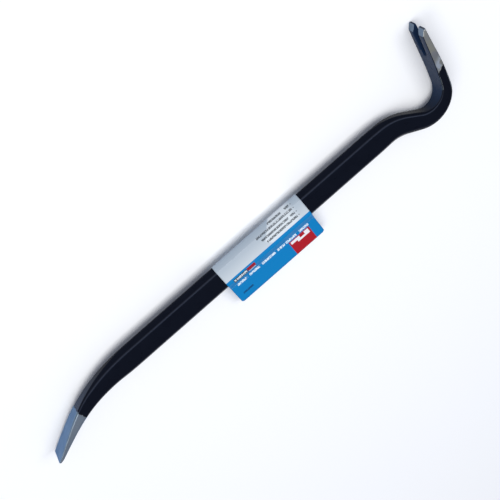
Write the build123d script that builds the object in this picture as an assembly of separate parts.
from build123d import *
import os
from collections import namedtuple
from math import atan2, cos, hypot, radians, sin, tan

os.makedirs("parts", exist_ok=True)

# A pry bar forged in one piece from flattened hexagon stock, lying on its side. The bends lie in the
# XY plane, +X runs along the shank to the gooseneck, and the claw points to +Y.
# All lengths are in millimetres and all angles in degrees.

# depth is measured in the plane of the bends, width across it. land is the width of the flat on the
# upper and lower faces, and side is the height of the flat on each side face.
Section = namedtuple("Section", "depth width land side")

# Sections from the stock to the claw
stock = Section(depth=31.0, width=16.0, land=1.5, side=21.7)
neck = Section(depth=22.8, width=16.0, land=10.5, side=17.3)
throat = Section(depth=20.4, width=17.3, land=12.2, side=14.5)
bend_crown = Section(depth=15.2, width=21.2, land=18.9, side=12.3)
claw_root = Section(depth=11.4, width=30.0, land=28.4, side=9.2)
slot_root = Section(depth=9.2, width=36.2, land=35.0, side=7.9)
claw_tip = Section(depth=5.8, width=38.0, land=36.9, side=4.8)

# Sections from the stock to the chisel
heel = Section(depth=16.9, width=17.8, land=13.2, side=13.9)
blade_root = Section(depth=8.6, width=25.6, land=24.2, side=7.2)
blade_tip = Section(depth=2.6, width=30.8, land=29.4, side=1.9)

land_radius = 1.3
side_radius = 3.0
corner_share = 0.4

# Centre line, from the middle of the shank to each end
claw_side_length = 186.6
shoulder_length = 8.5
neck_radius = 52.0
neck_drop = 29.8
neck_length = 18.0
bend_radius = 30.0
bend_turn = 105.3
claw_curve_radius = 315.0
claw_curve = 6.0
claw_length = 38.8

chisel_side_length = 183.8
taper_length = 12.0
heel_radius = 192.0
heel_turn = 14.5
blade_turn = 10.9
blade_radius = 745.0
blade_sweep = 3.0

# Nail slot, open at the claw's tip
slot_length = 34.5
slot_mouth = 12.0
slot_end = 7.4
slot_bevel = 2.0

# Ground ends
claw_bevel_length = 7.5
claw_edge = 2.0
prong_clip_length = 1.2
prong_clip_width = 1.2
blade_bevel_length = 7.0
blade_edge = 0.9
blade_clip_length = 1.5
blade_clip_width = 1.5
run_out = 6.0

# Printed card folded round the shank, with its two leaves glued together below it
card_thickness = 0.45
card_gap = 0.3
card_length = 122.0
card_middle = 16.5
crease_drop = 20.0
flap_length = 27.0
flap_hang = 15.0
flap_corner = 2.6
glue_thickness = 0.15
glue_margin = 2.0


def between(first, last, share):
    """The section a share of the way from one section to another."""
    return Section(*(a + (b - a) * share for a, b in zip(first, last)))


def rounded_outline(corners, reaches):
    """A closed outline with each corner replaced by an arc that starts that reach before it."""
    edges = []
    last_end = None
    for i, corner in enumerate(corners):
        back = (corners[i - 1] - corner).normalized()
        on = (corners[(i + 1) % len(corners)] - corner).normalized()
        start = corner + back * reaches[i]
        end = corner + on * reaches[i]
        half_angle = radians(back.get_angle(on)) / 2
        to_centre = reaches[i] / cos(half_angle)
        radius = reaches[i] * tan(half_angle)
        crown = corner + (back + on).normalized() * (to_centre - radius)
        if last_end is not None:
            edges.append(Line(last_end, start))
        edges.append(ThreePointArc(start, crown, end))
        last_end = end
    edges.append(Line(last_end, edges[0] @ 0))
    return make_face(edges)


def section_face(place, size):
    """An eight-sided section with rounded corners, x in the bend plane and y across it."""
    depth, width, land, side = (value / 2 for value in size)
    quarter = [Vector(side, width), Vector(depth, land)]
    half = quarter + [Vector(p.X, -p.Y) for p in reversed(quarter)]
    ring = half + [-p for p in half]
    slant = atan2(width - land, depth - side)
    limit = corner_share * hypot(width - land, depth - side)
    at_side = min(side_radius * tan(slant / 2), limit, corner_share * side)
    at_land = min(land_radius * tan((radians(90) - slant) / 2), limit, corner_share * land)
    return place * rounded_outline(ring, [at_side, at_land, at_land, at_side] * 2)


def across(edge, share, towards_claw):
    """The plane square to the centre line, facing the claw's end of the bar."""
    along = edge % share if towards_claw else -(edge % share)
    return Plane(origin=edge @ share, x_dir=Vector(-along.Y, along.X, 0), z_dir=along)


def drawn(edge, first, last, steps, towards_claw):
    """Faces after the start of one stretch of centre line, whose section changes evenly."""
    shares = [step / steps for step in range(1, steps + 1)]
    return [section_face(across(edge, s, towards_claw), between(first, last, s)) for s in shares]


def onwards(edge, length):
    """A straight run that goes on from the end of an edge."""
    return Line(edge @ 1, edge @ 1 + length * (edge % 1))


def arc_on(edge, radius, turn):
    """An arc that goes on from the end of an edge."""
    return JernArc(start=edge @ 1, tangent=edge % 1, radius=radius, arc_size=turn)


# Centre line towards the claw
claw_side = Line((0, 0), (claw_side_length, 0))
shoulder = onwards(claw_side, shoulder_length)
neck_arc = arc_on(shoulder, neck_radius, -neck_drop)
neck_run = onwards(neck_arc, neck_length)
bend_in = arc_on(neck_run, bend_radius, bend_turn / 2)
bend_out = arc_on(bend_in, bend_radius, bend_turn / 2)
claw_arc = arc_on(bend_out, claw_curve_radius, claw_curve)
claw_run = onwards(claw_arc, claw_length)

# Centre line towards the chisel
chisel_side = Line((0, 0), (-chisel_side_length, 0))
taper = onwards(chisel_side, taper_length)
heel_arc = arc_on(taper, heel_radius, heel_turn)
root_arc = arc_on(heel_arc, heel_radius, blade_turn)
blade_arc = arc_on(root_arc, blade_radius, blade_sweep)


def forged_bar():
    """The whole forging, lofted from the chisel's edge to the claw's tips."""
    into_neck = between(stock, neck, shoulder.length / (shoulder.length + neck_arc.length))
    into_heel = between(stock, heel, taper.length / (taper.length + heel_arc.length))
    claw_end = drawn(claw_side, stock, stock, 16, True)
    claw_end += drawn(shoulder, stock, into_neck, 1, True)
    claw_end += drawn(neck_arc, into_neck, neck, 3, True)
    claw_end += drawn(neck_run, neck, throat, 1, True)
    claw_end += drawn(bend_in, throat, bend_crown, 3, True)
    claw_end += drawn(bend_out, bend_crown, claw_root, 3, True)
    claw_end += drawn(claw_arc, claw_root, slot_root, 2, True)
    claw_end += drawn(claw_run, slot_root, claw_tip, 2, True)
    chisel_end = drawn(chisel_side, stock, stock, 16, False)
    chisel_end += drawn(taper, stock, into_heel, 1, False)
    chisel_end += drawn(heel_arc, into_heel, heel, 3, False)
    chisel_end += drawn(root_arc, heel, blade_root, 2, False)
    chisel_end += drawn(blade_arc, blade_root, blade_tip, 2, False)
    middle = section_face(across(claw_side, 0, True), stock)
    return loft(chisel_end[::-1] + [middle] + claw_end)


def tip_plane(edge, towards_claw):
    """x into the bar from its end, y across the bar, and z out of the face on the claw's side."""
    inwards = -(edge % 1)
    up = Vector(-inwards.Y, inwards.X, 0)
    return Plane(origin=edge @ 1, x_dir=inwards, z_dir=-up if towards_claw else up)


def end_bevel(half_root, half_tip, length, edge_left, width):
    """The wedge that is ground off the upper face, down to a thin edge at the end."""
    low = edge_left - half_tip
    slope = (half_root - low) / length
    high = half_root + run_out * slope + run_out
    profile = Polyline(
        (-run_out, low - run_out * slope),
        (length + run_out, half_root + run_out * slope),
        (length + run_out, high),
        (-run_out, high),
        close=True,
    )
    return extrude(Plane.XZ * make_face(profile), width, both=True)


def clipped_corners(half_width, length, width, thickness):
    """The prisms outside a slanted line across each corner of a flat end."""
    slope = width / length
    corner = Polyline(
        (-run_out, half_width - width - run_out * slope),
        (length + run_out, half_width + run_out * slope),
        (-run_out, half_width + run_out * slope),
        close=True,
    )
    prism = extrude(make_face(corner), thickness, both=True)
    return prism + mirror(prism, Plane.XZ)


def slot_outline(growth):
    """The nail slot from above, with every wall moved out by the growth."""
    end = slot_end / 2 + growth
    start = slot_length - slot_end / 2
    spread = (slot_mouth - slot_end) / 2 / start
    wide = end + spread * (start + run_out)
    walls = Polyline((-run_out, -wide), (start, -end), (start, end), (-run_out, wide), close=True)
    return make_face(walls) + Pos(start, 0) * Circle(end)


def nail_slot():
    """The slot between the prongs, with the rims of the upper face bevelled."""
    cut = extrude(slot_outline(0), claw_root.depth, both=True)
    fall = atan2(slot_root.depth - claw_tip.depth, 2 * claw_length)
    rim = Plane(
        origin=(0, 0, claw_tip.depth / 2 - slot_bevel),
        x_dir=(cos(fall), 0, sin(fall)),
        z_dir=(-sin(fall), 0, cos(fall)),
    )
    low = rim * slot_outline(0)
    high = rim * Pos(0, 0, 2 * slot_bevel) * slot_outline(2 * slot_bevel)
    return cut + loft([low, high])


def ground_bar():
    """The forging with its slot cut and its two ends ground."""
    claw_share = claw_bevel_length / claw_length
    claw_back = between(claw_tip, slot_root, claw_share)
    claw_cut = end_bevel(
        claw_back.depth / 2, claw_tip.depth / 2, claw_bevel_length, claw_edge, claw_tip.width
    )
    claw_cut += clipped_corners(
        claw_tip.width / 2, prong_clip_length, prong_clip_width, claw_root.depth
    )
    claw_cut += nail_slot()
    blade_share = blade_bevel_length / blade_arc.length
    blade_back = between(blade_tip, blade_root, blade_share)
    blade_cut = mirror(
        end_bevel(
            blade_back.depth / 2, blade_tip.depth / 2, blade_bevel_length, blade_edge, blade_tip.width
        ),
        Plane.XY,
    )
    blade_cut += clipped_corners(
        blade_tip.width / 2, blade_clip_length, blade_clip_width, blade_root.depth
    )
    bar = forged_bar()
    bar -= tip_plane(claw_run, True) * claw_cut
    bar -= tip_plane(blade_arc, False) * blade_cut
    return bar


def moved_out(points, distance):
    """A path beside another one, on its left, with mitred corners."""
    moved = []
    for i, point in enumerate(points):
        before = points[max(i - 1, 0)]
        after = points[min(i + 1, len(points) - 1)]
        first = (point - before if i else after - point).normalized()
        second = (after - point if i < len(points) - 1 else point - before).normalized()
        mitre = (first + second).normalized()
        left = Vector(-mitre.Y, mitre.X)
        moved.append(point + left * distance / mitre.dot(first))
    return moved


def leaf_path(side):
    """The inner face of one leaf, from the shank's upper edge to the end of the flap."""
    half_depth, half_width, half_land, half_side = (value / 2 for value in stock)
    hang = radians(flap_hang)
    down_flap = Vector(-cos(hang), -sin(hang))
    off_flap = Vector(-sin(hang), cos(hang)) * side * glue_thickness / 2
    crease = Vector(-crease_drop, 0)
    return [
        Vector(half_depth + card_gap, side * half_land),
        Vector(half_side, side * (half_width + card_gap)),
        Vector(-half_side, side * (half_width + card_gap)),
        crease + off_flap,
        crease + down_flap * flap_length + off_flap,
    ]


def folded_card():
    """The card, in the plane across the shank with x in the bend plane, then along the shank."""
    near, far = leaf_path(1), leaf_path(-1)
    inside = near + far[::-1]
    outside = moved_out(near, -card_thickness) + moved_out(far, card_thickness)[::-1]
    profile = make_face(Polyline(*outside, close=True)) - make_face(Polyline(*inside, close=True))
    sleeve = extrude(Plane.YZ * profile, card_length / 2, both=True)
    reach = 2 * (crease_drop + stock.depth)
    plate = RectangleRounded(card_length, reach + flap_length, flap_corner)
    plate = extrude(Pos(0, (reach - flap_length) / 2) * plate, reach, both=True)
    return card_place() * (sleeve & flap_plane() * plate)


def flap_plane():
    """Origin at the crease, x along the shank, y up the flap and z out of its near leaf."""
    hang = radians(flap_hang)
    return Plane(origin=(0, -crease_drop, 0), x_dir=(1, 0, 0), z_dir=(0, -sin(hang), cos(hang)))


def card_place():
    """Where the card sits along the shank."""
    return Pos(card_middle, 0, 0)


def glue_strip():
    """The film of glue between the card's two leaves."""
    strip = Rectangle(card_length - 2 * glue_margin, flap_length - 2 * glue_margin)
    film = extrude(Pos(0, -flap_length / 2) * strip, glue_thickness / 2, both=True)
    return card_place() * (flap_plane() * film)


pieces = {"pry_bar": ground_bar(), "label_card": folded_card(), "label_glue": glue_strip()}

# The origin is under the middle of the whole, on the surface that it lies on.
box = Compound(list(pieces.values())).bounding_box()
to_origin = Pos(-box.center().X, -box.center().Y, -box.min.Z)
for name, piece in pieces.items():
    export_step(to_origin * piece, f"parts/{name}.step")
